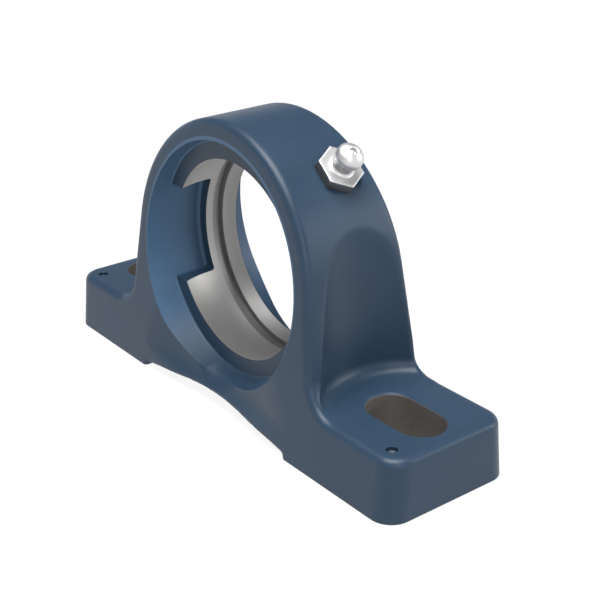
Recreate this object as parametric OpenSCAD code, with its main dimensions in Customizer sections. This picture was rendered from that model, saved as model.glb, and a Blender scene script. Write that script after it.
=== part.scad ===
// Pillow block bearing housing, cast iron, for a spherical insert bearing.
// The casting stands on z = 0, its length lies along X and the bore along Y.
// The origin is the centre of the underside of the base.

/* [Base and feet] */
// Length of the base along X
base_len = 130; // [120:1:145]
// Width of the base along Y, at the underside
base_w = 35.6; // [33:0.2:40]
// Height of the top of each foot
foot_h = 14.4; // [12:0.2:17]
// Rounding of the vertical corners of the feet
foot_corner_r = 5.3; // [4:0.1:7]
// Rounding between the top and the end of a foot
foot_end_r = 2.2; // [2.1:0.1:4]
// Rise of the hollow under the middle of the base
arch_h = 4.4; // [3:0.1:5.5]
// Length of the hollow under the base
arch_len = 60; // [50:1:66]
// Step at each end of the hollow
arch_step = 1.3; // [0.8:0.1:2]

/* [Ring] */
// Height of the bore's centre over the base
bore_h = 36.5; // [36:0.1:39]
// Radius of the outside of the ring
ring_r = 33.6; // [33:0.1:35]
// Angle at which the flanks flare down from the ring
flank_angle = 7.5; // [4:0.5:10]
// Radius of the hollow corner between a flank and a foot
flank_foot_r = 7; // [5:0.5:9]
// Rounding of all outer edges of the casting
edge_r = 1.7; // [1:0.1:2]
// Lean of the front and back faces, in mm for each mm of height
face_draft = 0.09; // [0.05:0.005:0.1]
// Lean of the ends of the feet, in mm for each mm of height
end_draft = 0.06; // [0.02:0.005:0.1]

/* [Bore] */
// Diameter of the ball-shaped seat of the insert bearing
seat_d = 52; // [50:0.5:53]
// Width of the seat along Y
seat_w = 18; // [16:0.2:19]
// Radius of the opening where it meets the seat's step
opening_r = 28.8; // [28:0.1:29.5]
// Widening of the opening, in mm of radius for each mm of depth
opening_flare = 0.2; // [0.1:0.02:0.25]
// Start of the grease groove, along Y from the seat's middle
groove_y = 3.5; // [2.5:0.1:4.5]
// Width of the grease groove
groove_w = 2.2; // [1.5:0.1:3]
// Depth of the grease groove under the seat's surface
groove_depth = 1.2; // [0.6:0.1:1.8]
// Height of each filling slot along Z
filling_h = 24.8; // [20:0.2:27]
// Depth of the filling slots behind the seat's middle
filling_past = 2; // [1:0.1:2.6]
// Radius of the floor of the filling slots
filling_r = 29.1; // [28.8:0.1:29.6]

/* [Flank hollows] */
// Radius of the upright hollow that clears the bolt
hollow_r = 15.2; // [13:0.1:16]
// Place of that hollow's axis along X
hollow_x = 46.3; // [45:0.1:48]
// Rounding at the foot of that hollow
hollow_foot_r = 3; // [2:0.1:4]

/* [Web] */
// Distance of the web's face from the middle plane, at its deepest
web_y = 14.2; // [12.5:0.1:15.5]
// Radius of the scoop that sets the web back
web_r = 121; // [80:1:160]

/* [Fixing] */
// Distance of each bolt slot's centre from its end of the base
slot_from_end = 14.5; // [13:0.25:17]
// Width of a bolt slot
slot_w = 11.6; // [9:0.1:13]
// Length of a bolt slot along X
slot_len = 20.5; // [16:0.5:22]
// Distance of each dowel dimple from its end of the base
dimple_from_end = 5.7; // [5:0.1:8]
// Distance of the dowel dimples from the front edge of the underside
dimple_from_front = 5.8; // [5.3:0.1:8]
// Diameter of a dowel dimple
dimple_d = 2.6; // [2:0.1:4]
// Depth of a dowel dimple
dimple_depth = 1.2; // [0.6:0.1:2]

/* [Grease nipple] */
// Angle of the nipple above the horizontal, seen from the front
nipple_angle = 47.5; // [40:0.5:60]
// Place of the nipple along Y
nipple_y = 3.4; // [2:0.1:4]
// Depth of the flat under the hexagon, under the ring's top
spot_depth = 0.35; // [0.2:0.05:1]
// Diameter of that flat
spot_d = 12; // [11:0.5:13]
// Width across the flats of the hexagon
hex_af = 9.5; // [8:0.5:10]
// Height of the hexagon
hex_h = 2.6; // [2:0.1:4]
// Diameter of the threaded stem
stem_d = 6.2; // [5:0.1:6.5]
// Length of the threaded stem
stem_len = 4.6; // [3:0.1:5]
// Diameter of the neck
neck_d = 4.9; // [4.6:0.1:5.2]
// Diameter of the head
head_d = 6.4; // [6:0.1:6.7]
// Height of the whole nipple over the flat
nipple_h = 8.8; // [8:0.1:10]
// Clearance of the stem in its hole
stem_gap = 0.1; // [0.05:0.05:0.2]
// Diameter of the grease way from the nipple to the groove
way_d = 3; // [2:0.1:4]

/* [Check valve] */
// Diameter of the check ball
ball_d = 2.4; // [2.2:0.1:2.5]
// Diameter of the mouth that the ball closes
mouth_d = 1.7; // [1.4:0.1:1.9]
// Diameter of the chamber of the ball and spring
chamber_d = 3; // [2.8:0.1:3.2]
// Clearance of the ball from its seat, and of the spring from its ends
valve_gap = 0.05; // [0.02:0.01:0.1]
// Thickness of the spring's wire
wire_d = 0.35; // [0.25:0.05:0.4]
// Mean diameter of the spring's turns
coil_d = 1.9; // [1.6:0.05:2.1]
// Number of turns of the spring
turns = 5; // [4:1:7]

/* [Hidden] */

// Cutters reach this far past what they cut
past = 5;
// The filling slots reach this far in front of the seat's edge
filling_mouth = 4;
// Levels of the edge rounding between a face and the outer surface
edge_steps = 4;
// Parts of each arc of the outline
ring_steps = 18;
foot_steps = 6;
arch_steps = 8;
// The hollow's floor stands this far over the foot, so that the foot's top stays whole
hollow_lift = 0.02;

housing_colour = [0.25, 0.35, 0.46];
steel_colour = [0.8, 0.81, 0.82];
spring_colour = [0.6, 0.6, 0.62];

half_w = base_w / 2;
half_len = base_len / 2;
seat_r = seat_d / 2;
seat_edge = seat_w / 2;
total_h = bore_h + ring_r;
slot_x = half_len - slot_from_end;
slot_r = slot_w / 2;
slot_half = slot_len / 2 - slot_r;

// Centre of the hollow corner between flank and foot: both offsets meet there
corner_z = foot_h + flank_foot_r;
corner_x = (ring_r + flank_foot_r - (corner_z - bore_h) * sin(flank_angle)) / cos(flank_angle);

// Circle of the hollow under the base, through its two inner corners and its top
arch_half = arch_len / 2 - 1;
arch_rise = arch_h - arch_step;
arch_r = (arch_half * arch_half + arch_rise * arch_rise) / (2 * arch_rise);

// Half of a circle's chord at a distance from its centre
function half_chord(r, y) = sqrt(r * r - y * y);

// Distance from the middle plane to the leaning front face at height z
function face_y(z) = half_w - face_draft * z;

// Right half of the outline seen from the front, from the top down to the underside.
// d is how far the upper edges are drawn in, and e how far the ends are.
function outline_half(d, e) = concat(
    [for (i = [0 : ring_steps])
        let (a = 90 - (90 - flank_angle) * i / ring_steps)
        [(ring_r - d) * cos(a), bore_h + (ring_r - d) * sin(a)]],
    [for (i = [0 : foot_steps])
        let (a = 180 + flank_angle + (90 - flank_angle) * i / foot_steps)
        [corner_x + (flank_foot_r + d) * cos(a), corner_z + (flank_foot_r + d) * sin(a)]],
    [for (i = [0 : foot_steps])
        let (a = 90 - 90 * i / foot_steps, r = foot_end_r - d,
             z = foot_h - foot_end_r + r * sin(a))
        [half_len - e - end_draft * z - foot_end_r + r * cos(a), z]],
    [[half_len - e, 0]]);

// Points of the right half, without the one on the middle
side_count = ring_steps + 2 * foot_steps + 3;
// The whole outline: the right half, then the left half upwards
function outline(d, e) =
    let (h = outline_half(d, e))
    concat(h, [for (i = [side_count : -1 : 1]) [-h[i].x, h[i].y]]);
ring_count = 2 * side_count + 1;

// Triangles that close the outline, in level strips between its two halves
foot_top = ring_steps + foot_steps + 1;
function left(i) = ring_count - i;
cap = concat(
    [[0, 1, left(1)]],
    [for (i = [1 : side_count - 1]) if (i != foot_top)
        each (i == foot_top + 1
            ? [[left(i + 1), left(i), left(i - 1)], [left(i + 1), left(i - 1), i - 1],
               [left(i + 1), i - 1, i], [left(i + 1), i, i + 1]]
            : [[left(i), i, i + 1], [left(i), i + 1, left(i + 1)]])]);

// Each level is [depth behind the face, draw-in of the edges, draw-in of the ends]
function end_draw(s) =
    s >= foot_corner_r ? 0 : foot_corner_r - sqrt(foot_corner_r ^ 2 - (foot_corner_r - s) ^ 2);
edge_levels = [for (i = [0 : edge_steps])
    let (a = 90 * i / edge_steps, s = edge_r * (1 - cos(a)))
    [s, edge_r * (1 - sin(a)), end_draw(s)]];
corner_levels = [for (s = [(edge_r + foot_corner_r) / 2, foot_corner_r]) [s, 0, end_draw(s)]];
front_levels = concat(edge_levels, corner_levels);
level_count = len(front_levels);
levels = concat([for (l = front_levels) [-1, l]],
                [for (i = [level_count - 1 : -1 : 0]) [1, front_levels[i]]]);

// Points of the casting's skin, one ring of the outline on each level
skin_points = [for (lv = levels) let (side = lv[0], l = lv[1])
    for (q = outline(l[1], l[2])) [q.x, side * (face_y(q.y) - l[0]), q.y]];
last_ring = (len(levels) - 1) * ring_count;
skin_faces = concat(
    cap,
    [for (j = [0 : len(levels) - 2], i = [0 : ring_count - 1])
        let (k = (i + 1) % ring_count, a = j * ring_count, b = a + ring_count)
        each [[a + i, b + i, b + k], [a + i, b + k, a + k]]],
    [for (t = cap) [last_ring + t[2], last_ring + t[1], last_ring + t[0]]]);

module casting_skin() {
    polyhedron(points = skin_points, faces = skin_faces, convexity = 6);
}

// Shallow arched hollow under the base, open to the front and the back
module base_arch() {
    arc = [for (i = [-arch_steps : arch_steps]) let (x = arch_half * i / arch_steps)
        [x, arch_h - arch_r + half_chord(arch_r, x)]];
    translate([0, base_w, 0]) rotate([90, 0, 0]) linear_extrude(height = 2 * base_w)
        polygon(concat([[-arch_len / 2, -past]], arc, [[arch_len / 2, -past]]));
}

// Puts a shape turned about Z onto the bore's axis, with its own Z along Y
module on_bore_axis() {
    translate([0, 0, bore_h]) rotate([-90, 0, 0]) children();
}

// A cylinder along Y between y0 and y1, centred on the bore
module bore_cylinder(y0, y1, r) {
    on_bore_axis() translate([0, 0, y0]) cylinder(h = y1 - y0, r = r, $fn = 96);
}

// Points along the seat's arc from y0 to y1
function seat_arc(y0, y1, steps) =
    [for (i = [0 : steps]) let (y = y0 + (y1 - y0) * i / steps) [half_chord(seat_r, y), y]];

// The whole turned bore: ball-shaped seat, step, widening openings and grease groove
module turned_bore() {
    reach = half_w + past;
    mouth_r = opening_r + opening_flare * (reach - seat_edge);
    groove_end = groove_y + groove_w;
    floor_r = half_chord(seat_r, groove_end) + groove_depth;
    on_bore_axis() rotate_extrude($fn = 128)
        polygon(concat(
            [[0, -reach], [mouth_r, -reach], [opening_r, -seat_edge]],
            seat_arc(-seat_edge, groove_y, 12),
            [[floor_r, groove_y], [floor_r, groove_end]],
            seat_arc(groove_end, seat_edge, 4),
            [[opening_r, seat_edge], [mouth_r, reach], [0, reach]]));
}

// One pair of filling slots, open to the front and ending just behind the seat's middle
module filling_slots() {
    intersection() {
        bore_cylinder(-seat_edge - filling_mouth, filling_past, filling_r);
        translate([-half_len, -half_w, bore_h - filling_h / 2]) cube([base_len, base_w, filling_h]);
    }
}

// An upright hollow with a rounded foot, which clears the bolt's head
module flank_hollow() {
    foot_arc = [for (i = [0 : 6]) let (a = -90 + 15 * i)
        [hollow_r - hollow_foot_r + hollow_foot_r * cos(a), hollow_foot_r + hollow_foot_r * sin(a)]];
    translate([hollow_x, 0, foot_h + hollow_lift])
        rotate_extrude($fn = 96)
            polygon(concat([[0, 0]], foot_arc, [[hollow_r, total_h], [0, total_h]]));
}

// The web under the bore is a shallow upright scoop, which fades out towards the legs
module web_scoop() {
    for (side = [-1, 1])
        translate([0, side * (web_y + web_r), -past])
            cylinder(h = past + bore_h - opening_r / 2, r = web_r, $fn = 360);
}

module bolt_slot() {
    for (x = [-slot_half, slot_half])
        translate([x, 0, -past]) cylinder(h = foot_h + 2 * past, r = slot_r, $fn = 64);
    translate([-slot_half, -slot_r, -past]) cube([2 * slot_half, slot_w, foot_h + 2 * past]);
}

// Puts the children on the nipple's axis, with z = 0 on the flat under the hexagon
module on_nipple_axis() {
    translate([0, nipple_y, bore_h]) rotate([0, 90 - nipple_angle, 0])
        translate([0, 0, ring_r - spot_depth]) children();
}

// Flat, threaded hole and grease way under the nipple
module nipple_cuts() {
    on_nipple_axis() {
        cylinder(h = past, d = spot_d, $fn = 64);
        translate([0, 0, -stem_len - 2 * stem_gap])
            cylinder(h = stem_len + past, d = stem_d + 2 * stem_gap, $fn = 48);
        translate([0, 0, seat_r - ring_r - past]) cylinder(h = ring_r - seat_r + past, d = way_d, $fn = 32);
    }
}

module housing() {
    color(housing_colour)
    difference() {
        casting_skin();
        base_arch();
        turned_bore();
        filling_slots();
        web_scoop();
        for (side = [0, 1]) mirror([side, 0, 0]) {
            flank_hollow();
            translate([slot_x, 0, 0]) bolt_slot();
            translate([half_len - dimple_from_end, dimple_from_front - half_w, foot_h - dimple_depth])
                cylinder(h = past, d = dimple_d, $fn = 32);
        }
        nipple_cuts();
    }
}

// Heights over the flat: the head's rim, the mouth, and the chamber's floor
head_rim_z = nipple_h - 2.9;
mouth_z = nipple_h - 0.7;
chamber_floor_z = -stem_len + 1.2;
// The ball rests against the mouth's edge: height of its centre
ball_z = mouth_z - valve_gap - sqrt((ball_d / 2) ^ 2 - (mouth_d / 2) ^ 2);
spring_top_z = ball_z - ball_d / 2 - valve_gap;
spring_bottom_z = chamber_floor_z + valve_gap;

module nipple_profile() {
    polygon([[0, -stem_len], [stem_d / 2 - 0.5, -stem_len], [stem_d / 2, -stem_len + 0.5],
             [stem_d / 2, 0], [hex_af / 2 - 0.4, 0], [hex_af / 2 - 0.4, hex_h], [neck_d / 2 + 0.4, hex_h],
             [neck_d / 2, hex_h + 0.5], [neck_d / 2, head_rim_z - 0.8], [head_d / 2, head_rim_z],
             [head_d / 2, head_rim_z + 0.6], [head_d / 2 - 0.9, nipple_h - 0.6],
             [head_d / 2 - 1.5, nipple_h - 0.1], [head_d / 2 - 1.9, nipple_h], [0, nipple_h]]);
}

module valve_chamber() {
    polygon([[0, -stem_len - 1], [mouth_d / 2, -stem_len - 1], [mouth_d / 2, chamber_floor_z],
             [chamber_d / 2, chamber_floor_z], [chamber_d / 2, mouth_z - 0.9],
             [mouth_d / 2, mouth_z], [mouth_d / 2, nipple_h + 1], [0, nipple_h + 1]]);
}

module grease_nipple() {
    color(steel_colour)
    on_nipple_axis() difference() {
        union() {
            rotate_extrude($fn = 64) nipple_profile();
            intersection() {
                cylinder(h = hex_h, d = hex_af / cos(30), $fn = 6);
                cylinder(h = hex_h + 2, r1 = hex_af / 2 + 2.4, r2 = hex_af / 2 - 1.1, $fn = 64);
            }
        }
        rotate_extrude($fn = 48) valve_chamber();
    }
}

module check_ball() {
    color(steel_colour)
    on_nipple_axis() translate([0, 0, ball_z]) sphere(d = ball_d, $fn = 48);
}

// The spring's wire, swept along a helix whose first and last part of a turn lie level
level_turn = 0.75;
wire_sides = 8;
coil_rings = 12;
coil_count = turns * coil_rings;
coil_rise = spring_top_z - spring_bottom_z - wire_d;
function coil_z(t) =
    let (u = (t * turns - level_turn) / (turns - 2 * level_turn))
    spring_bottom_z + wire_d / 2 + coil_rise * max(0, min(1, u));
spring_points = [for (i = [0 : coil_count], k = [0 : wire_sides - 1])
    let (t = i / coil_count, a = 360 * turns * t, b = 360 * k / wire_sides,
         r = coil_d / 2 + wire_d / 2 * cos(b))
    [r * cos(a), r * sin(a), coil_z(t) + wire_d / 2 * sin(b)]];
spring_faces = concat(
    [[for (k = [0 : wire_sides - 1]) k]],
    [for (i = [0 : coil_count - 1], k = [0 : wire_sides - 1])
        let (a = i * wire_sides, m = (k + 1) % wire_sides)
        each [[a + k, a + wire_sides + k, a + wire_sides + m], [a + k, a + wire_sides + m, a + m]]],
    [[for (k = [wire_sides - 1 : -1 : 0]) coil_count * wire_sides + k]]);

module check_spring() {
    color(spring_colour)
    on_nipple_axis() polyhedron(points = spring_points, faces = spring_faces, convexity = 10);
}

housing();
grease_nipple();
check_ball();
check_spring();
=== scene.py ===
"""Looks of a pillow block bearing housing: the blended casting, its grease nipple, and a plain studio."""
import math

import bpy
import numpy as np
from mathutils import Matrix, Vector


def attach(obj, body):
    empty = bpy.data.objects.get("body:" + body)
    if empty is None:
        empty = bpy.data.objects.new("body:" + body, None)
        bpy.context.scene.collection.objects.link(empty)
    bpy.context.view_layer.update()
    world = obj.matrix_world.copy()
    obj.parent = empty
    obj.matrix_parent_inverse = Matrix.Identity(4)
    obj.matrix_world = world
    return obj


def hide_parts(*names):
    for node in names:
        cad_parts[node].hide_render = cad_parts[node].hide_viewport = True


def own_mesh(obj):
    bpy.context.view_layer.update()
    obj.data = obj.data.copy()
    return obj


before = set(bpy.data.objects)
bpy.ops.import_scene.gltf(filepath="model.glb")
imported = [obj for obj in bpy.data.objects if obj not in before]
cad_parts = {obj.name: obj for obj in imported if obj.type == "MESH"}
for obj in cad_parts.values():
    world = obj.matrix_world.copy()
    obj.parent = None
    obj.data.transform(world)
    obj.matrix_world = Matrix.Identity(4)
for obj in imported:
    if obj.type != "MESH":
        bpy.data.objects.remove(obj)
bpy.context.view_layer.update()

bl_info = {
    "name": "Pillow block housing",
    "version": (1, 0, 0),
    "blender": (4, 5, 0),
    "location": "View3D > Sidebar > Housing",
    "description": "Builds the casting, the grease nipple and the studio of a pillow block bearing housing",
    "category": "Object",
}

MM = 0.001

# Small sizes of the casting's surface, in mm, but for the slope and the sine.
HOLLOW_LIFT = 0.2  # the upright hollows end this far above the feet
WEB_FOOT_TOP, WEB_FOOT_LOW = 8, 2  # the web comes forward between these heights
SCOOP_TOP = 23  # the scoops end here, inside the openings
ARCH_END, ARCH_END_SLOPE = 1, 6  # length and slope of the arch's end steps
ARCH_CORNER = 0.5  # rounding between the arch and its end steps
SOFT_ASIDE = 0.5  # sine of the angle from straight down at which the opening's edge begins to soften
SKIN = 0.05  # where the edge is soft, the cutter stays this far off the surface
STEP_SPARE = 0.2  # metal left before the seat's step, for the cutter
STEP_CORNER = 0.5  # rounding at the foot of the seat's step
CRISP_EDGE = 0.3  # rounding of the opening's edge where it is crisp
FIELD_FLOOR = 1.5  # the surface is closed this far under the base

GROOVE_TOP, GROOVE_FLOOR = 0.024, 0.0274  # radii between which the groove's finish lies, in metres
CASTING_SHARP, NIPPLE_SHARP = 32, 40  # edges are drawn sharp past these angles, in degrees

# The camera stands at the photograph's viewing angle. The lamps are square: name, place, aim, side in metres
# and power in watts.
CAMERA_PLACE = (0.22216, -0.16213, 0.14765)
CAMERA_BACK, CAMERA_UP = (0.7475, -0.5455, 0.3790), (-0.2940, 0.2399, 0.9252)
WORLD_STRENGTH = 0.12
LAMPS = (
    ("key", (0.05, -0.12, 0.82), (0.0, 0.0, 0.03), 0.6, 13.5),
    ("front", (0.84, -0.32, 0.42), (0.0, 0.0, 0.04), 0.4, 2.2),
    ("rear", (0.55, 0.68, 0.34), (0.0, 0.0, 0.04), 0.4, 2.8),
)


def length(name, description, millimetres):
    """A length property, with its default given in millimetres."""
    return bpy.props.FloatProperty(name=name, description=description, default=millimetres * MM,
                                   unit="LENGTH", subtype="DISTANCE", precision=5)


def number(name, description, default):
    """A plain number property."""
    return bpy.props.FloatProperty(name=name, description=description, default=default, precision=3)


def angle(name, description, degrees):
    """An angle property, with its default given in degrees."""
    return bpy.props.FloatProperty(name=name, description=description, default=math.radians(degrees),
                                   unit="ROTATION", subtype="ANGLE")


def tint(name, description, colour):
    """A colour property, in linear light."""
    return bpy.props.FloatVectorProperty(name=name, description=description, default=colour, size=3,
                                         min=0.0, max=1.0, subtype="COLOR")


class CastingSizes(bpy.types.PropertyGroup):
    """Sizes of the casting."""
    base_len: length("Base length", "Length of the base along X", 130)
    base_w: length("Base width", "Width of the base at its underside", 35.6)
    foot_h: length("Foot height", "Height of the top of each foot", 14.4)
    plan_corner: length("Foot corner", "Rounding of the vertical corners of the feet", 5.3)
    edge_r: length("Edge rounding", "Rounding of the outer edges", 1.7)
    face_draft: number("Face lean", "Lean of the front and back faces", 0.09)
    end_draft: number("End lean", "Lean of the ends of the feet", 0.01)
    bore_h: length("Bore height", "Height of the bore's centre", 36.5)
    ring_r: length("Ring radius", "Radius of the outside of the ring", 34.2)
    flank: angle("Flank angle", "Angle at which the flanks flare down from the ring", 7.5)
    flank_foot_r: length("Hollow corner", "Radius between a flank and a foot", 7)
    hollow_x: length("Flank hollow place", "Place of the upright hollow's axis along X", 51.2)
    hollow_y: length("Flank hollow offset", "Distance of that axis behind the middle plane", 1.6)
    hollow_r: length("Flank hollow radius", "Radius of the upright hollow beside the bolt", 20.1)
    hollow_foot_r: length("Flank hollow foot", "Rounding at the foot of that hollow", 3)
    hollow_edge_r: length("Flank hollow edge", "Rounding of that hollow's edge", 0.4)
    web_y: length("Web place", "Distance of the web's face from the middle plane", 14.2)
    web_r: length("Web scoop", "Radius of the scoop that sets the web back", 121)
    web_foot: length("Web foot", "How far the web comes forward at its lower edge", 2.4)
    web_edge: length("Web edge", "Rounding of the edges of the web and of the arch", 0.9)
    arch_len: length("Arch length", "Length of the hollow under the base", 60)
    arch_h: length("Arch height", "Rise of the hollow under the base", 3.5)
    arch_step: length("Arch step", "Step at each end of that hollow", 1.1)
    grain: length("Grid step", "Step of the grid that the casting's surface is read on", 0.62)


class BoreSizes(bpy.types.PropertyGroup):
    """Sizes of the turned bore and of the filling slots."""
    seat_d: length("Seat diameter", "Diameter of the ball-shaped seat", 52)
    seat_w: length("Seat width", "Width of the seat along Y", 18)
    opening_r: length("Opening radius", "Radius of the opening at the seat's step", 28.8)
    flare: number("Opening flare", "Widening of the opening for each unit of depth", 0.2)
    mouth_edge: length("Mouth edge", "Rounding where the opening runs out into the web", 2.4)
    groove_y: length("Groove place", "Start of the grease groove along Y", 2.8)
    groove_w: length("Groove width", "Width of the grease groove", 2.6)
    groove_deep: length("Groove depth", "Depth of the grease groove", 1.2)
    filling_h: length("Filling slot height", "Height of each filling slot", 24.8)
    filling_past: length("Filling slot end", "End of the filling slots behind the seat's middle", 0.8)
    filling_r: length("Filling slot floor", "Radius of the floor of the filling slots", 29.4)


class FixingSizes(bpy.types.PropertyGroup):
    """Sizes of the bolt slots and the dowel dimples."""
    spacing: length("Bolt spacing", "Distance between the bolt slots' centres", 101)
    slot_w: length("Slot width", "Width of a bolt slot", 11.6)
    slot_len: length("Slot length", "Length of a bolt slot", 20.5)
    slot_edge: length("Slot edge", "Break of the slot's upper edge", 0.25)
    dimple_x: length("Dimple place", "Place of the dowel dimples along X", 59.3)
    dimple_y: length("Dimple offset", "Distance of the dimples towards the front", 12)
    dimple_d: length("Dimple width", "Diameter of a dimple", 2.6)
    dimple_deep: length("Dimple depth", "Depth of a dimple", 1.2)


class NippleSizes(bpy.types.PropertyGroup):
    """Sizes of the grease nipple and its check valve."""
    lean: angle("Nipple angle", "Angle of the nipple above the horizontal", 47.5)
    place: length("Nipple place", "Place of the nipple along Y", 3.4)
    spot_deep: length("Flat depth", "Depth of the flat under the hexagon", 0.35)
    spot_d: length("Flat width", "Diameter of that flat", 12)
    hex_af: length("Hexagon", "Width across the hexagon's flats", 9.5)
    hex_h: length("Hexagon height", "Height of the hexagon", 2.6)
    stem_d: length("Stem", "Diameter of the stem", 6.2)
    stem_len: length("Stem length", "Length of the stem", 4.6)
    neck_d: length("Neck", "Diameter of the neck", 4.9)
    head_d: length("Head", "Diameter of the head", 6.4)
    head_h: length("Head height", "Height of the nipple's top over the foot of its head", 2.9)
    tall: length("Nipple height", "Height of the nipple over the flat", 8.8)
    ball_d: length("Ball", "Diameter of the check ball", 2.4)
    mouth_d: length("Mouth", "Diameter of the mouth that the ball closes", 1.7)
    mouth_deep: length("Mouth depth", "Depth of the edge that the ball closes", 0.7)
    chamber_d: length("Chamber", "Diameter of the chamber", 3)
    floor_h: length("Chamber floor", "Thickness of the floor that the spring stands on", 1.2)
    gap: length("Valve gap", "Clearance of the ball and the spring", 0.05)
    wire_d: length("Wire", "Thickness of the spring's wire", 0.35)
    coil_d: length("Coil", "Mean diameter of the spring's turns", 1.9)
    turns: number("Turns", "Number of turns of the spring", 5)
    travel: length("Travel", "How far a grease gun pushes the ball in", 0.9)


class Finishes(bpy.types.PropertyGroup):
    """Colours of the finishes."""
    paint: tint("Paint", "Blue-grey paint of the casting", (0.018, 0.038, 0.067))
    bare_iron: tint("Bare iron", "Machined iron of the seat", (0.40, 0.395, 0.39))
    slot_iron: tint("Slot iron", "Iron of the bolt slots' walls", (0.10, 0.09, 0.085))
    zinc: tint("Zinc", "Plating of the nipple", (0.66, 0.66, 0.665))
    ball: tint("Ball", "Steel of the check ball", (0.8, 0.8, 0.8))
    wire: tint("Wire", "Steel of the spring", (0.45, 0.45, 0.46))
    floor: tint("Floor", "Pale floor", (0.09, 0.09, 0.09))


def sizes(group):
    """The lengths of a property group in millimetres, and its other values as they are, by name."""
    found = {}
    for key, prop in group.bl_rna.properties.items():
        if prop.type == "FLOAT" and not prop.is_array:
            value = getattr(group, key)
            found[key] = value / MM if prop.unit == "LENGTH" else value
    return found


def smooth(t):
    """Soft rise from 0 to 1: 3t^2 - 2t^3, with t held between 0 and 1."""
    t = np.clip(t, 0, 1)
    return t * t * (3 - 2 * t)


def round_meet(a, b, r):
    """What is inside both a and b, with their edge rounded: past r from the edge it is the larger of the
    two, and nearer it is the distance from a circle of radius r that touches both."""
    bend = np.hypot(np.maximum(a + r, 0), np.maximum(b + r, 0))
    return np.minimum(np.maximum(a, b), -r) + bend


def round_join(a, b, r):
    """What is inside a or b, with their corner filled by a circle of radius r that touches both."""
    bend = np.hypot(np.maximum(r - a, 0), np.maximum(r - b, 0))
    return np.maximum(np.minimum(a, b), r) - bend


def leaning(distance, size, lean, z):
    """Distance from a plane that stands at size, and leans in by lean for each unit of height."""
    return (distance - size + lean * z) / math.hypot(1, lean)


def blank_field(x, y, z, c):
    """Signed distance from the casting before its web, arch and openings are cut. The ring and its tangent
    flanks join the feet with a hollow corner, less the upright hollows; that meets the leaning faces with one
    edge rounding. A point is on the ring's side of the tangent where h cos > |x| sin."""
    ax, ay, h = np.abs(x), np.abs(y), z - c["bore_h"]
    cos, sin = math.cos(c["flank"]), math.sin(c["flank"])
    ring = np.where(h * cos > ax * sin, np.hypot(ax, h), ax * cos + h * sin) - c["ring_r"]
    flanks = round_join(ring, z - c["foot_h"], c["flank_foot_r"])
    hollow = np.hypot(ax - c["hollow_x"], y - c["hollow_y"]) - c["hollow_r"]
    hollow = round_meet(hollow, c["foot_h"] + HOLLOW_LIFT - z, c["hollow_foot_r"])
    top = round_meet(flanks, -hollow, c["hollow_edge_r"])
    face = leaning(ay, c["base_w"] / 2, c["face_draft"], z)
    end = leaning(ax, c["base_len"] / 2, c["end_draft"], z)
    return round_meet(top, round_meet(end, face, c["plan_corner"]), c["edge_r"])


def scoop_field(x, y, z, c):
    """The room in front of the web: an upright cylinder of radius web_r, moved forward at the web's foot."""
    forward = c["web_foot"] * smooth((WEB_FOOT_TOP - z) / (WEB_FOOT_TOP - WEB_FOOT_LOW))
    scoop = np.hypot(x, c["web_y"] + c["web_r"] + forward - np.abs(y)) - c["web_r"]
    return np.maximum(scoop, z - SCOOP_TOP)


def arch_field(x, z, c):
    """The room under the base: a circle's arc through the tops of its two end steps, which lean a little.
    The arc's radius is (half^2 + rise^2) / (2 rise)."""
    half = c["arch_len"] / 2 - ARCH_END
    rise = c["arch_h"] - c["arch_step"]
    arch_r = (half * half + rise * rise) / (2 * rise)
    arch = np.hypot(x, z - c["arch_h"] + arch_r) - arch_r
    ends = np.abs(x) - half - (c["arch_step"] - z) / ARCH_END_SLOPE
    return round_meet(arch, ends, ARCH_CORNER)


def casting_field(x, y, z, c, b):
    """Signed distance, in mm, from the casting's painted surface, negative in the iron: the blank, less the
    web's scoops, the arch and the openings. The openings are a little tight here, for the cutter to trim, but
    under the bore, where they run out into the web with a wide rounding: soft grows from 0 to 1 as the
    direction turns down from 30 degrees aside. The field ends a little under the base."""
    body = blank_field(x, y, z, c)
    body = round_meet(body, -scoop_field(x, y, z, c), c["web_edge"])
    body = round_meet(body, -arch_field(x, z, c), c["web_edge"])

    ay, h = np.abs(y), z - c["bore_h"]
    rho = np.hypot(x, h)
    soft = smooth(np.where(h < 0, 1 - np.abs(x) / np.maximum(rho, 1) / SOFT_ASIDE, 0))
    seat_edge = b["seat_w"] / 2
    wall = leaning(rho, b["opening_r"] - b["flare"] * seat_edge, -b["flare"], ay)
    opening = round_meet(wall + (1 - soft) - SKIN, seat_edge + STEP_SPARE - ay, STEP_CORNER)
    body = round_meet(body, -opening, CRISP_EDGE + (b["mouth_edge"] - CRISP_EDGE) * soft)
    return np.maximum(body, -FIELD_FLOOR - z)


def gradient(field, p, step=0.02):
    """Slope of the field at points p, by the difference of two readings a small step apart on each axis."""
    slope = np.empty_like(p)
    for k in range(3):
        shift = np.zeros(3)
        shift[k] = step
        slope[:, k] = (field(*(p + shift).T) - field(*(p - shift).T)) / (2 * step)
    return slope


def onto_surface(field, p, most, rounds=3):
    """Moves points along the field's slope, by value over slope squared and by no more than most, until the
    value is zero. A slope near nothing, on a crease, counts as a small one."""
    for _ in range(rounds):
        g = gradient(field, p)
        g2 = np.maximum((g * g).sum(1), 0.05)
        move = (field(*p.T) / g2)[:, None] * g
        size = np.maximum(np.linalg.norm(move, axis=1, keepdims=True), 1e-9)
        p = p - move * np.minimum(1, most / size)
    return p


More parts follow.
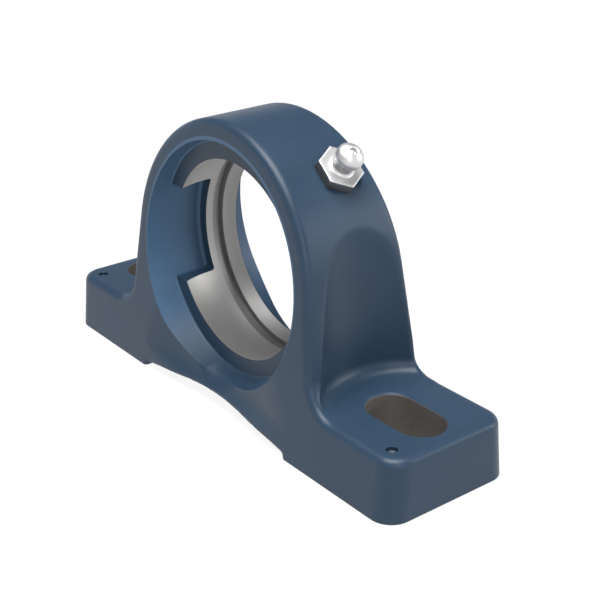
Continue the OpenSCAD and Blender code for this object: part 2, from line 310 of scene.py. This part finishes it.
def cell_points(values, solid):
    """The grid cells whose corners differ in sign, a number for each, and one point in each, at the mean of
    the places where its edges cross zero. An edge from value a to value b crosses at a / (a - b) of it."""
    shape = np.array(values.shape) - 1
    corners = [(i, j, k) for i in (0, 1) for j in (0, 1) for k in (0, 1)]
    count = np.zeros(shape, np.int8)
    for i, j, k in corners:
        count += solid[i:shape[0] + i, j:shape[1] + j, k:shape[2] + k]
    active = (count > 0) & (count < len(corners))
    cell = np.argwhere(active)
    number_of = np.full(active.shape, -1)
    number_of[active] = np.arange(len(cell))

    total = np.zeros((len(cell), 3))
    hits = np.zeros(len(cell))
    for d in corners:
        for axis in range(3):
            if d[axis]:
                continue
            e = list(d)
            e[axis] = 1
            va = values[tuple((cell + d).T)]
            vb = values[tuple((cell + e).T)]
            cross = (va < 0) != (vb < 0)
            t = np.where(cross, va / np.where(cross, va - vb, 1), 0)
            place = (cell + d).astype(float)
            place[:, axis] += t
            total += np.where(cross[:, None], place, 0)
            hits += cross
    return total / hits[:, None], number_of


def cell_faces(solid, number_of):
    """One face for each grid edge that crosses zero, through the points of the four cells round it, turned
    so that it looks away from the solid end."""
    faces = []
    for axis in range(3):
        u, v = (axis + 1) % 3, (axis + 2) % 3
        first = np.take(solid, np.arange(solid.shape[axis] - 1), axis)
        second = np.take(solid, np.arange(1, solid.shape[axis]), axis)
        where = np.argwhere(first != second)
        inner = (where[:, u] > 0) & (where[:, u] < solid.shape[u] - 1)
        inner &= (where[:, v] > 0) & (where[:, v] < solid.shape[v] - 1)
        where = where[inner]
        ring = []
        for du, dv in ((-1, -1), (0, -1), (0, 0), (-1, 0)):
            at = where.copy()
            at[:, u] += du
            at[:, v] += dv
            ring.append(number_of[tuple(at.T)])
        quad = np.stack(ring, 1)
        backward = ~first[tuple(where.T)]
        quad[backward] = quad[backward][:, ::-1]
        faces.append(quad)
    return np.concatenate(faces)


def zero_surface(field, low, high, step, evenings=2):
    """Mesh of the surface where a function of x, y and z is zero, read on a grid of points from low to high.
    Its points are set onto the surface, then evened out: each goes halfway to the mean of its neighbours and
    back onto the surface."""
    axes = [np.arange(low[k], high[k] + step, step) for k in range(3)]
    values = np.empty([len(a) for a in axes])
    for i, x in enumerate(axes[0]):
        yy, zz = np.meshgrid(axes[1], axes[2], indexing="ij")
        values[i] = field(np.full_like(yy, x), yy, zz)
    solid = values < 0
    points, number_of = cell_points(values, solid)
    faces = cell_faces(solid, number_of)

    ends = np.concatenate([faces[:, [0, 1]], faces[:, [1, 2]], faces[:, [2, 3]], faces[:, [3, 0]]])
    ends = np.concatenate([ends, ends[:, ::-1]])
    degree = np.bincount(ends[:, 0], minlength=len(points))
    points = onto_surface(field, points * step + np.array(low), step / 2)
    for _ in range(evenings):
        mean = np.stack([np.bincount(ends[:, 0], points[ends[:, 1], k], len(points)) for k in range(3)], 1)
        points = onto_surface(field, points + 0.5 * (mean / degree[:, None] - points), step / 2)
    return points, [faces]


def grid_faces(rows, around):
    """Four-sided faces between the points of neighbouring rows, each row closed on itself."""
    i, j = np.meshgrid(np.arange(rows - 1), np.arange(around), indexing="ij")
    k = (j + 1) % around
    quads = [i * around + j, i * around + k, (i + 1) * around + k, (i + 1) * around + j]
    return np.stack(quads, -1).reshape(-1, 4)


def cap_faces(first, around, middle):
    """Three-sided faces from a closed row, whose first point is given, to a middle point."""
    j = np.arange(around)
    return np.stack([first + j, first + (j + 1) % around, np.full(around, middle)], -1)


def turned(profile, around=96):
    """Surface of a profile carried round its own Z axis. profile is rows of (radius, height) that start and
    end on the axis; the point at turn t and row i is radius_i times (cos t, sin t), at height_i."""
    profile = np.asarray(profile, float)
    turn = np.linspace(0, 2 * math.pi, around, endpoint=False)
    radius, height = profile[1:-1, :1], profile[1:-1, 1:]
    points = np.stack([radius * np.cos(turn), radius * np.sin(turn), np.repeat(height, around, 1)], -1)
    rows = len(radius)
    points = np.concatenate([points.reshape(-1, 3), [[0, 0, profile[0, 1]], [0, 0, profile[-1, 1]]]])
    low = cap_faces(0, around, rows * around)[:, [1, 0, 2]]
    high = cap_faces((rows - 1) * around, around, rows * around + 1)
    return points, [grid_faces(rows, around), low, high]


def carried(outline, levels):
    """Upright wall of a closed outline: at each level (height, growth) the outline's points stand at that
    height, moved out along their own normals by the growth. Flat faces close the two ends."""
    outline = np.asarray(outline, float)
    along = np.roll(outline, -1, 0) - np.roll(outline, 1, 0)
    normal = np.stack([along[:, 1], -along[:, 0]], 1) / np.linalg.norm(along, axis=1)[:, None]
    n = len(outline)
    points = np.concatenate([np.column_stack([outline + g * normal, np.full(n, z)]) for z, g in levels])
    top = (len(levels) - 1) * n + np.arange(n)
    return points, [grid_faces(len(levels), n), np.arange(n)[None, ::-1], top[None, :]]


def tube(path, radius, sides=10):
    """Round wire along a path: at each point a circle of the radius, square to the path, whose first spoke is
    as level as it can be. The two ends close on their own middle points."""
    ahead = np.gradient(path, axis=0)
    ahead /= np.linalg.norm(ahead, axis=1)[:, None]
    side = np.cross(ahead, [0, 0, 1.0])
    side /= np.linalg.norm(side, axis=1)[:, None]
    up = np.cross(side, ahead)
    t = np.linspace(0, 2 * math.pi, sides, endpoint=False)
    spokes = side[:, None] * np.cos(t)[None, :, None] + up[:, None] * np.sin(t)[None, :, None]
    points = (path[:, None] + radius * spokes).reshape(-1, 3)
    n = len(path)
    points = np.concatenate([points, path[[0, -1]]])
    walls = grid_faces(n, sides)[:, [0, 3, 2, 1]]
    start = cap_faces(0, sides, n * sides)
    end = cap_faces((n - 1) * sides, sides, n * sides + 1)[:, [1, 0, 2]]
    return points, [walls, start, end]


def placed(shape, matrix):
    """The shape with its points moved by a 4 by 4 matrix, in mm."""
    points, faces = shape
    m = np.array(matrix)
    return points @ m[:3, :3].T + m[:3, 3], faces


def gathered(shapes):
    """Several shapes as one."""
    points, faces, start = [], [], 0
    for p, parts in shapes:
        points.append(p)
        faces += [f + start for f in parts]
        start += len(p)
    return np.concatenate(points), faces


def mesh_object(name, shape):
    """A Blender object of a shape given in mm, at the origin, with its faces shaded smooth."""
    points, faces = shape
    mesh = bpy.data.meshes.new(name)
    mesh.from_pydata((points * MM).tolist(), [], [f for part in faces for f in part.tolist()])
    mesh.update()
    mesh.shade_smooth()
    thing = bpy.data.objects.new(name, mesh)
    bpy.context.scene.collection.objects.link(thing)
    return thing


def cut(thing, cutters):
    """Takes the cutters away from an object, keeps the result in its mesh, and marks the sharp edges."""
    kinds = bpy.types.BooleanModifier.bl_rna.properties["solver"].enum_items.keys()
    for cutter in cutters:
        step = thing.modifiers.new("cut", "BOOLEAN")
        step.operation = "DIFFERENCE"
        step.object = cutter
        step.solver = "MANIFOLD" if "MANIFOLD" in kinds else "EXACT"
    graph = bpy.context.evaluated_depsgraph_get()
    made = bpy.data.meshes.new_from_object(thing.evaluated_get(graph))
    if not len(made.polygons):
        raise RuntimeError("the cut left nothing of " + thing.name)
    thing.modifiers.clear()
    thing.data = made
    for cutter in cutters:
        bpy.data.objects.remove(cutter)
    made.shade_smooth()
    made.set_sharp_from_angle(angle=math.radians(CASTING_SHARP))
    made.update()


def bore_frame(c):
    """Matrix that lays a shape's Z along the bore, with +Z towards the back."""
    return Matrix.Translation((0, 0, c["bore_h"])) @ Matrix.Rotation(-math.pi / 2, 4, "X")


def nipple_frame(c, n):
    """Matrix that stands a shape on the flat under the nipple, with +Z along the nipple."""
    return (Matrix.Translation((0, n["place"], c["bore_h"]))
            @ Matrix.Rotation(math.pi / 2 - n["lean"], 4, "Y")
            @ Matrix.Translation((0, 0, c["ring_r"] - n["spot_deep"])))


def rounded(points, r, steps=5):
    """An open line of points with its inner corners rounded. Each corner becomes the curve between the points
    a distance r before and after it, (1-t)^2 times the first plus 2t(1-t) times the corner plus t^2 times the
    last; r is at most half of the shorter side."""
    p = np.asarray(points, float)
    before, after = p[:-2] - p[1:-1], p[2:] - p[1:-1]
    lb, la = np.linalg.norm(before, axis=1), np.linalg.norm(after, axis=1)
    r = np.minimum(r, np.minimum(lb, la) * 0.49)[:, None]
    a, b = p[1:-1] + before / lb[:, None] * r, p[1:-1] + after / la[:, None] * r
    t = np.linspace(0, 1, steps)[None, :, None]
    arcs = (1 - t) ** 2 * a[:, None] + 2 * t * (1 - t) * p[1:-1, None] + t ** 2 * b[:, None]
    return np.concatenate([p[:1], arcs.reshape(-1, 2), p[-1:]])


def seat_cutter(c, b):
    """The turned seat in one profile: a ball's arc, of radius sqrt(r^2 - y^2) at y, between the two steps,
    with the grease groove in it."""
    r, edge = b["seat_d"] / 2, b["seat_w"] / 2
    reach, corner = 13, 0.5
    end_gap, groove_gap, groove_lean = 0.25, 0.12, 0.1

    def arc(y0, y1, steps):
        y = np.linspace(y0, y1, steps)
        return np.column_stack([np.sqrt(r * r - y * y), y])

    g0, g1 = b["groove_y"], b["groove_y"] + b["groove_w"]
    floor = math.sqrt(r * r - g1 * g1) + b["groove_deep"]
    rim = math.sqrt(r * r - edge * edge)
    mouth = b["opening_r"] + b["flare"] * reach
    front = rounded([[mouth, -edge - reach], [b["opening_r"], -edge], [rim, -edge]], corner)
    profile = np.concatenate([
        [[0, -edge - reach]], front,
        arc(-edge + end_gap, g0 - groove_gap, 26),
        [[floor, g0 + groove_lean], [floor, g1 - groove_lean]],
        arc(g1 + groove_gap, edge - end_gap, 8),
        front[::-1] * [1, -1], [[0, edge + reach]]])
    return placed(turned(profile, 256), bore_frame(c))


def filling_cutter(c, b, side):
    """A filling slot: an arc between two straight walls, carried along the bore from well before the front,
    with a rounded end."""
    high, r = b["filling_h"] / 2, b["filling_r"]
    inner, front, corner = 18, -16, 1.0
    turn = np.linspace(-1, 1, 25) * math.asin(high / r)
    arc = np.column_stack([r * np.cos(turn), r * np.sin(turn)])
    outline = side * np.concatenate([[[inner, -high]], arc, [[inner, high]]])
    a = np.linspace(0, math.pi / 2, 6)
    along = b["filling_past"] - corner + corner * np.sin(a)
    levels = np.column_stack([along, corner * np.cos(a) - corner])
    return placed(carried(outline, [(front, 0), *map(tuple, levels)]), bore_frame(c))


def base_cutter(c):
    """Everything under the base's plane."""
    w, d, deep = c["base_len"], c["base_w"], 20
    box = [[-w, -d], [w, -d], [w, d], [-w, d]]
    return carried(box, [(-deep, 0), (0, 0)])


def slot_cutter(c, s, side):
    """A bolt slot: two half circles joined by straights, carried up, with its upper edge broken."""
    r = s["slot_w"] / 2
    half = s["slot_len"] / 2 - r
    t = np.linspace(-math.pi / 2, math.pi / 2, 25)
    end = np.column_stack([half + r * np.cos(t), r * np.sin(t)])
    outline = np.concatenate([end, -end]) + [side * s["spacing"] / 2, 0]
    top, edge = c["foot_h"], s["slot_edge"]
    return carried(outline, [(-3, 0), (top - edge, 0), (top + 1, edge + 1), (top + 4, edge + 1)])


def dimple_cutter(c, s, side):
    """A dowel dimple: a drilled hole with a coned bottom and a broken edge."""
    r, deep = s["dimple_d"] / 2, s["dimple_deep"]
    edge, cone = 0.12, 0.25
    profile = [[0, -deep - 2 * cone], [r, -deep + cone], [r, -edge], [r + 1, 1 - edge], [r + 1, 3], [0, 3]]
    place = (side * s["dimple_x"], -s["dimple_y"], c["foot_h"])
    return placed(turned(profile, 40), Matrix.Translation(place))


def spot_cutter(c, n):
    """The flat, the nipple's hole and the grease way in one turned profile."""
    r, flat, hole = n["stem_d"] / 2 + 0.1, n["spot_d"] / 2, n["stem_len"] + 0.2
    way, way_deep, clear = 1.5, 9.5, 5
    profile = [[0, -way_deep], [way, -way_deep], [way, -hole], [r, -hole],
               [r, 0], [flat, 0], [flat, clear], [0, clear]]
    return placed(turned(profile, 96), nipple_frame(c, n))


def nipple_profile(n):
    """Closed profile of the nipple as rows of (radius, height over the flat): the stem, the hexagon as a
    round of its width across flats, the neck, the head, and the chamber within. The head's dome narrows by
    the power 2.2 of its height."""
    tall, hex_h, af = n["tall"], n["hex_h"], n["hex_af"] / 2
    stem, neck, head = n["stem_d"] / 2, n["neck_d"] / 2, n["head_d"] / 2
    mouth, chamber = n["mouth_d"] / 2, n["chamber_d"] / 2
    foot, mouth_z, floor_z = tall - n["head_h"], tall - n["mouth_deep"], -n["stem_len"] + n["floor_h"]
    lip, belt = 0.35, 0.7
    up = np.linspace(0, 1, 9)[1:]
    dome = np.column_stack([mouth + lip + (head - mouth - lip) * (1 - up ** 2.2),
                            foot + belt + (tall - foot - belt) * up])
    outside = [[stem, -n["stem_len"] + 0.5], [stem, -0.05], [af, 0], [af + 0.02, 0.12],
               [af + 0.02, hex_h - 0.05], [af - 0.35, hex_h], [neck + 0.5, hex_h + 0.02],
               [neck, hex_h + 0.5], [neck, foot - 0.9], [head, foot - 0.1], [head, foot + belt], *dome,
               [mouth, tall - 0.3], [mouth, mouth_z], [chamber, mouth_z - 0.9], [chamber, floor_z],
               [mouth, floor_z], [mouth, -n["stem_len"]], [stem - 0.5, -n["stem_len"]]]
    ring = np.asarray(outside + outside[:1], float)
    return rounded(ring, 0.16, 4)[:-1]


def nipple_shape(n, around=240):
    """The nipple's profile carried round Z. Between the hexagon's heights the rows are pushed out to half the
    width across flats over the cosine of the turn from the nearest flat, but no further than a chamfer, which
    narrows steeply at the hexagon's top and foot. The push dies out over a short way inside the flats."""
    fine, af, hex_h = nipple_profile(n), n["hex_af"] / 2, n["hex_h"]
    inside, tiny = 0.6, 0.001
    turn = np.linspace(0, 2 * math.pi, around, endpoint=False)
    r, z = fine[:, :1], fine[:, 1:]
    from_flat = turn % (math.pi / 3) - math.pi / 6
    flats = af / np.cos(from_flat)[None, :]
    chamfer = af + 0.55 + np.minimum(1.9 * (hex_h - z), 4 * z + 0.2)
    belt = (z > -tiny) & (z < hex_h + tiny) & (r > af - inside)
    share = np.where(r > af - tiny, 1.0, np.clip((r - af + inside) / inside, 0, 1))
    wide = r + (np.minimum(flats, np.maximum(chamfer, af)) - af) * share
    radius = np.where(belt, wide, np.repeat(r, around, 1))
    points = np.stack([radius * np.cos(turn), radius * np.sin(turn), np.repeat(z, around, 1)], -1)
    faces = grid_faces(len(fine) + 1, around) % (len(fine) * around)
    return points.reshape(-1, 3), [faces]


def valve_heights(n):
    """Heights over the flat of the ball's centre and of the spring's top and foot. The ball rests a gap under
    the mouth's edge, so its centre is sqrt(ball^2 - mouth^2) below that."""
    ball = n["ball_d"] / 2
    edge = n["tall"] - n["mouth_deep"] - n["gap"]
    ball_z = edge - math.sqrt(ball ** 2 - (n["mouth_d"] / 2) ** 2)
    return ball_z, ball_z - ball - n["gap"], -n["stem_len"] + n["floor_h"] + n["gap"]


def spring_path(n, top, foot):
    """Line of the spring's wire: a turn round Z whose ends lie level for three quarters of a turn, and whose
    middle rises, nearly evenly, from the foot to the top."""
    level, samples = 0.75, int(n["turns"] * 36) + 1
    turn = np.linspace(0, n["turns"], samples)
    rise = np.clip((turn - level) / (n["turns"] - 2 * level), 0, 1)
    rise = rise * 0.9 + 0.1 * smooth(rise)
    a = 2 * math.pi * turn
    return np.column_stack([n["coil_d"] / 2 * np.cos(a), n["coil_d"] / 2 * np.sin(a),
                            foot + n["wire_d"] / 2 + (top - foot - n["wire_d"]) * rise])


class Signal:
    """A value in a material, with the arithmetic that its finishes use."""

    def __init__(self, finish, socket):
        self.finish, self.socket = finish, socket

    def __add__(self, other):
        return self.finish.maths("ADD", self, other)

    __radd__ = __add__

    def __sub__(self, other):
        return self.finish.maths("SUBTRACT", self, other)

    def __rsub__(self, other):
        return self.finish.maths("SUBTRACT", other, self)

    def __mul__(self, other):
        return self.finish.maths("MULTIPLY", self, other)

    __rmul__ = __mul__

    def __abs__(self):
        return self.finish.maths("ABSOLUTE", self)

    def most(self, other):
        return self.finish.maths("MAXIMUM", self, other)

    def hypot(self, other):
        return self.finish.maths("SQRT", self * self + other * other)


class Finish:
    """One material, made of nodes."""

    def __init__(self, name):
        self.material = bpy.data.materials.new(name)
        self.material.use_nodes = True
        self.nodes, self.links = self.material.node_tree.nodes, self.material.node_tree.links
        self.nodes.clear()

    def node(self, kind, settings=None, values=None, out=0):
        """Adds a node of a type, sets its settings, then the values or links of its sockets."""
        made = self.nodes.new(kind)
        for key, value in (settings or {}).items():
            setattr(made, key, value)
        for key, value in (values or {}).items():
            if isinstance(value, Signal):
                self.links.new(value.socket, made.inputs[key])
            else:
                made.inputs[key].default_value = value
        return Signal(self, made.outputs[out]) if len(made.outputs) else made

    def maths(self, operation, *values):
        return self.node("ShaderNodeMath", {"operation": operation}, dict(enumerate(values)))

    def place(self):
        """The point on the object, and its X, Y and Z."""
        point = self.node("ShaderNodeTexCoord", out="Object")
        split = self.node("ShaderNodeSeparateXYZ", None, {0: point})
        outs = split.socket.node.outputs
        return point, Signal(self, outs[0]), Signal(self, outs[1]), Signal(self, outs[2])

    def ramp(self, value, low, high):
        """0 at low, 1 at high and a soft rise between, whichever of the two is larger."""
        return self.node("ShaderNodeMapRange", {"interpolation_type": "SMOOTHSTEP"},
                         {"Value": value, "From Min": low, "From Max": high})

    def stretched(self, point, scale):
        return self.node("ShaderNodeVectorMath", {"operation": "MULTIPLY"}, {0: point, 1: scale})

    def noise(self, point, scale, detail=3.0, rough=0.5):
        return self.node("ShaderNodeTexNoise", None,
                         {"Vector": point, "Scale": scale, "Detail": detail, "Roughness": rough})

    def blend(self, share, a, b):
        """Colour a where the share is 0, and b where it is 1."""
        return self.node("ShaderNodeMix", {"data_type": "RGBA"}, {0: share, 6: a, 7: b}, out=2)

    def relief(self, height, distance, strength, under=None):
        """Normal bent by a height. under is the relief that it lies on."""
        values = {"Height": height, "Distance": distance, "Strength": strength}
        if under is not None:
            values["Normal"] = under
        return self.node("ShaderNodeBump", None, values)

    def surface(self, values):
        """Ends the material in a Principled shader with these values."""
        shader = self.node("ShaderNodeBsdfPrincipled", None, values)
        self.node("ShaderNodeOutputMaterial", None, {"Surface": shader})
        return self.material


def tinted(colour, share=1.0):
    """A share of a colour, as the four values that a colour socket takes."""
    return (*[v * share for v in colour], 1.0)


def seat_mask(m, b, ball, ay):
    """1 on the ball-turned seat: inside the ball, and short of the two steps."""
    seat_r, step = b["seat_d"] / 2 * MM, b["seat_w"] / 2 * MM
    return m.ramp(ball, seat_r + 0.0002, seat_r + 0.0001) * m.ramp(ay, step - 0.00002, step - 0.00008)


def groove_mask(m, b, rho, y):
    """1 in the grease groove, between its two walls and from its floor to the seat."""
    half, fade = b["groove_w"] / 2 * MM, 0.0002
    off = abs(y - (b["groove_y"] * MM + half))
    across = m.ramp(off, half + 0.6 * fade, half)
    deep = m.ramp(rho, GROOVE_FLOOR + fade, GROOVE_FLOOR)
    return across * deep * m.ramp(rho, GROOVE_TOP, GROOVE_TOP + fade)


def slot_mask(m, c, s, ax, y, z):
    """1 on the bolt slots' walls: within half a width of the line between the slot's two end centres."""
    slot_r = s["slot_w"] / 2 * MM
    half = s["slot_len"] / 2 * MM - slot_r
    from_line = (abs(ax - s["spacing"] / 2 * MM) - half).most(0.0)
    inside = m.ramp(from_line.hypot(y), slot_r + 0.00012, slot_r + 0.00004)
    top = c["foot_h"] * MM
    return inside * m.ramp(z, top + 0.0001, top - 0.0001 - s["slot_edge"] * MM)


def casting_finish(c, b, s, f):
    """Paint over cast iron, with the seat, the groove, the bolt slots and the underside left bare. On the
    opening's walls, short of the bottom, the paint is drawn 2.3 times lighter as painted light. The bare seat
    has the fine lines of the lathe round it, and the paint the grain of the sand mould under it."""
    m = Finish("painted_casting")
    point, x, y, z = m.place()
    ax, ay, h = abs(x), abs(y), z - c["bore_h"] * MM
    rho = x.hypot(h)
    in_groove = groove_mask(m, b, rho, y)
    in_slot = slot_mask(m, c, s, ax, y, z)
    under = m.ramp(z, 0.0001, 0.00002)
    bare = seat_mask(m, b, rho.hypot(y), ay).most(in_groove).most(under)
    # painted light: marks the walls inside the opening, short of its bottom, to be drawn lighter than the
    # rest of the paint
    painted_light_walls = m.ramp(rho, 0.0284, 0.0287) * m.ramp(rho, 0.0304, 0.0301) * m.ramp(h, -0.029, -0.018)

    mottle = m.noise(point, 45.0, 4.0, 0.55)
    speck = m.noise(point, 700.0, 2.0, 0.5)
    sand = m.noise(point, 1500.0, 3.0, 0.6)
    lathe = m.noise(m.stretched(point, (60.0, 5200.0, 60.0)), 1.0, 3.0, 0.6)
    ripple = m.noise(point, 900.0, 2.0, 0.5)

    paint = m.blend(m.ramp(mottle, 0.3, 0.7), tinted(f.paint, 0.93), tinted(f.paint, 1.07))
    # painted light: the paint on those walls is made 2.3 times lighter
    paint = m.blend(painted_light_walls, paint, tinted(f.paint, 2.3))
    iron = m.blend(lathe, tinted(f.bare_iron, 0.86), tinted(f.bare_iron))
    # painted shade: the iron in the grease groove is drawn darker than the seat
    iron = m.blend(in_groove * 0.55, iron, tinted(f.bare_iron, 0.25))
    slot_iron = m.blend(speck, tinted(f.slot_iron, 0.8), tinted(f.slot_iron, 1.15))
    colour = m.blend(in_slot, m.blend(bare, paint, iron), slot_iron)

    rough = 0.36 + 0.08 * mottle
    rough = rough + bare * (0.44 + 0.1 * lathe - rough)
    rough = rough + in_slot * (0.62 - rough)
    painted = 1.0 - bare
    normal = m.relief(sand * painted * 0.9 + speck * painted, 0.00002, 0.5)
    normal = m.relief(bare * (lathe * 0.35 + ripple * 0.9), 0.00002, 0.6, normal)
    return m.surface({"Base Color": colour, "Roughness": rough, "Metallic": bare * 0.85,
                      "Specular IOR Level": 0.3, "Normal": normal})


def nipple_painted_shade(c, n):
    """Says where painted shade and painted dark reflections darken the nipple: on the hexagon's sides and
    round the neck under the head. A point's height over the flat is x cos + z sin, less the flat's own."""
    cos, sin = math.cos(n["lean"]), math.sin(n["lean"])
    flat = (c["ring_r"] - n["spot_deep"] + c["bore_h"] * sin) * MM
    top, head = n["hex_h"] * MM, (n["tall"] - n["head_h"]) * MM

    def share(m, x, z):
        up = x * cos + z * sin - flat
        sides = m.ramp(up, top - 0.0002, top - 0.0005)
        neck = m.ramp(up, top + 0.0003, top + 0.0008) * m.ramp(up, head - 0.0001, head - 0.0006)
        return sides.most(neck * 0.8)

    return share


def steel_finish(name, colour, roughness, scale, painted_darkening=None):
    """Plated or drawn steel: fine streaks in colour and roughness, with a little relief. The last argument,
    if given, is a function of the finish, X and Z that says where painted shade darkens the steel."""
    m = Finish(name)
    point, x, _, z = m.place()
    cloud = m.noise(point, scale, 3.0, 0.6)
    fine = m.noise(point, scale * 9, 2.0, 0.5)
    tone = m.blend(cloud, tinted(colour, 0.9), tinted(colour))
    if painted_darkening is not None:
        # painted shade: where that function says, the steel is drawn at 0.36 of its colour
        tone = m.blend(painted_darkening(m, x, z), tone, tinted(colour, 0.36))
    return m.surface({"Base Color": tone, "Roughness": roughness + 0.12 * cloud, "Metallic": 1.0,
                      "Normal": m.relief(fine, 0.000002, 0.4)})


def floor_finish(f):
    """A pale seamless floor with hardly any texture, which glows a little so that it stays white."""
    m = Finish("studio_floor")
    cloud = m.noise(m.place()[0], 3.0, 2.0, 0.5)
    tone = m.blend(cloud, tinted(f.floor, 0.99), tinted(f.floor))
    return m.surface({"Base Color": tone, "Roughness": 0.9, "Specular IOR Level": 0.0,
                      "Emission Color": (1.0, 1.0, 1.0, 1.0), "Emission Strength": 0.9})


def give(thing, material, body=None, node=None):
    """Gives a piece its material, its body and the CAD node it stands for."""
    thing.data.materials.clear()
    thing.data.materials.append(material)
    if body:
        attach(thing, body)
    if node:
        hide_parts(node)


class HOUSING_OT_casting(bpy.types.Operator):
    """Builds the blended casting with its machined seat, slots and flats"""
    bl_idname = "housing.casting"
    bl_label = "Casting"

    def execute(self, context):
        scene = context.scene
        c, b, s, n = (sizes(g) for g in (scene.casting_sizes, scene.bore_sizes, scene.fixing_sizes,
                                         scene.nipple_sizes))

        def field(x, y, z):
            return casting_field(x, y, z, c, b)

        side, end = c["base_w"] / 2 + 1.2, c["base_len"] / 2 + 1.2
        low, high = (-end, -side, -2.3), (end, side, c["bore_h"] + c["ring_r"] + 1)
        casting = mesh_object("casting", zero_surface(field, low, high, c["grain"]))
        turning = mesh_object("turning", gathered([seat_cutter(c, b), base_cutter(c)]))
        both = [shape for side in (1, -1) for shape in (
            filling_cutter(c, b, side), slot_cutter(c, s, side), dimple_cutter(c, s, side))]
        milling = mesh_object("milling", gathered([*both, spot_cutter(c, n)]))
        cut(casting, [turning, milling])
        give(casting, casting_finish(c, b, s, scene.finishes), "body", "housing")
        return {"FINISHED"}


class HOUSING_OT_nipple(bpy.types.Operator):
    """Builds the grease nipple with its hexagon, head and chamber"""
    bl_idname = "housing.nipple"
    bl_label = "Grease nipple"

    def execute(self, context):
        scene = context.scene
        c, n = sizes(scene.casting_sizes), sizes(scene.nipple_sizes)
        nipple = mesh_object("nipple", placed(nipple_shape(n), nipple_frame(c, n)))
        nipple.data.set_sharp_from_angle(angle=math.radians(NIPPLE_SHARP))
        # the plating carries painted shade on the hexagon's sides and round the neck
        plating = steel_finish("plated_steel", scene.finishes.zinc, 0.42, 300.0, nipple_painted_shade(c, n))
        give(nipple, plating, "body", "grease_nipple")
        return {"FINISHED"}


class HOUSING_OT_valve(bpy.types.Operator):
    """Builds the check ball and its spring inside the nipple"""
    bl_idname = "housing.valve"
    bl_label = "Check valve"

    def execute(self, context):
        scene = context.scene
        c, n = sizes(scene.casting_sizes), sizes(scene.nipple_sizes)
        stand = nipple_frame(c, n)
        ball_z, top, foot = valve_heights(n)
        t = np.linspace(-math.pi / 2, math.pi / 2, 25)
        r = n["ball_d"] / 2
        half_round = np.column_stack([r * np.cos(t), ball_z + r * np.sin(t)])
        ball = mesh_object("ball", placed(turned(half_round, 48), stand))
        give(ball, steel_finish("polished_steel", scene.finishes.ball, 0.3, 900.0), "ball", "check_ball")
        spring = mesh_object("spring", placed(tube(spring_path(n, top, foot), n["wire_d"] / 2), stand))
        give(spring, steel_finish("spring_steel", scene.finishes.wire, 0.25, 800.0), "body", "check_spring")
        1 - n["travel"] / (top - foot)
        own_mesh(spring)
        return {"FINISHED"}


def turn_to(back, up):
    """A 4 by 4 array whose Z column points back, whose Y column is as near to up as it can be, and whose X
    column is up cross back."""
    back = np.array(back, float)
    back /= np.linalg.norm(back)
    right = np.cross(up, back)
    right /= np.linalg.norm(right)
    m = np.eye(4)
    m[:3, 0], m[:3, 1], m[:3, 2] = right, np.cross(back, right), back
    return m


def set_down(scene, name, data, m, place):
    """A lamp or a camera, turned by a 4 by 4 array and put in its place."""
    thing = bpy.data.objects.new(name, data)
    m[:3, 3] = place
    thing.matrix_world = Matrix(m.tolist())
    scene.collection.objects.link(thing)
    return thing


def dish(flat, bend, rise):
    """Profile of the floor: flat to a radius, then bent up along a circle by an angle, and closed below."""
    t = np.linspace(rise, 0, 16)
    sweep = np.column_stack([flat + bend * np.sin(t), bend * (1 - np.cos(t))])
    rim, deep = sweep[0] + [200, 0], -100
    return [[0, deep], [rim[0], deep], rim, *sweep, [0, 0]]


class HOUSING_OT_stage(bpy.types.Operator):
    """Sets the camera, the pale floor and the soft studio light"""
    bl_idname = "housing.stage"
    bl_label = "Studio"

    def execute(self, context):
        scene = context.scene
        lens = bpy.data.cameras.new("camera")
        lens.lens, lens.sensor_width, lens.sensor_fit = 74.4, 36.0, "HORIZONTAL"
        lens.shift_x, lens.shift_y = 0.0591, -0.0711
        lens.clip_start, lens.clip_end = 0.01, 50.0
        scene.camera = set_down(scene, "camera", lens, turn_to(CAMERA_BACK, CAMERA_UP), CAMERA_PLACE)

        floor = mesh_object("floor", turned(dish(3000.0, 1500.0, math.radians(75)), 96))
        give(floor, floor_finish(scene.finishes))

        scene.view_settings.view_transform = "Standard"
        world = bpy.data.worlds.new("studio")
        world.use_nodes = True
        background = world.node_tree.nodes["Background"]
        background.inputs["Color"].default_value = (1.0, 1.0, 1.0, 1.0)
        background.inputs["Strength"].default_value = WORLD_STRENGTH
        scene.world = world
        for name, place, aim, size, power in LAMPS:
            light = bpy.data.lights.new(name, "AREA")
            light.shape, light.size, light.energy = "SQUARE", size, power
            set_down(scene, name, light, turn_to(np.subtract(place, aim), (0, 0, 1.0)), place)
        return {"FINISHED"}


class HOUSING_PT_panel(bpy.types.Panel):
    """Lists the builders and their sizes"""
    bl_idname = "HOUSING_PT_panel"
    bl_label = "Pillow block housing"
    bl_space_type = "VIEW_3D"
    bl_region_type = "UI"
    bl_category = "Housing"

    def draw(self, context):
        column = self.layout.column()
        for group in ("casting_sizes", "bore_sizes", "fixing_sizes", "nipple_sizes", "finishes"):
            held = getattr(context.scene, group)
            box = column.box()
            box.label(text=held.bl_rna.name)
            for key in type(held).__annotations__:
                box.prop(held, key)
        for step in STEPS:
            column.operator(step.bl_idname)


GROUPS = {"casting_sizes": CastingSizes, "bore_sizes": BoreSizes, "fixing_sizes": FixingSizes,
          "nipple_sizes": NippleSizes, "finishes": Finishes}
STEPS = (HOUSING_OT_stage, HOUSING_OT_casting, HOUSING_OT_nipple, HOUSING_OT_valve)


def register():
    for kind in (*GROUPS.values(), *STEPS, HOUSING_PT_panel):
        bpy.utils.register_class(kind)
    for name, kind in GROUPS.items():
        setattr(bpy.types.Scene, name, bpy.props.PointerProperty(type=kind))


def unregister():
    for name in GROUPS:
        delattr(bpy.types.Scene, name)
    for kind in reversed((*GROUPS.values(), *STEPS, HOUSING_PT_panel)):
        bpy.utils.unregister_class(kind)


def main():
    register()
    bpy.ops.housing.stage()
    bpy.ops.housing.casting()
    bpy.ops.housing.nipple()
    bpy.ops.housing.valve()


if __name__ == "__main__":
    main()
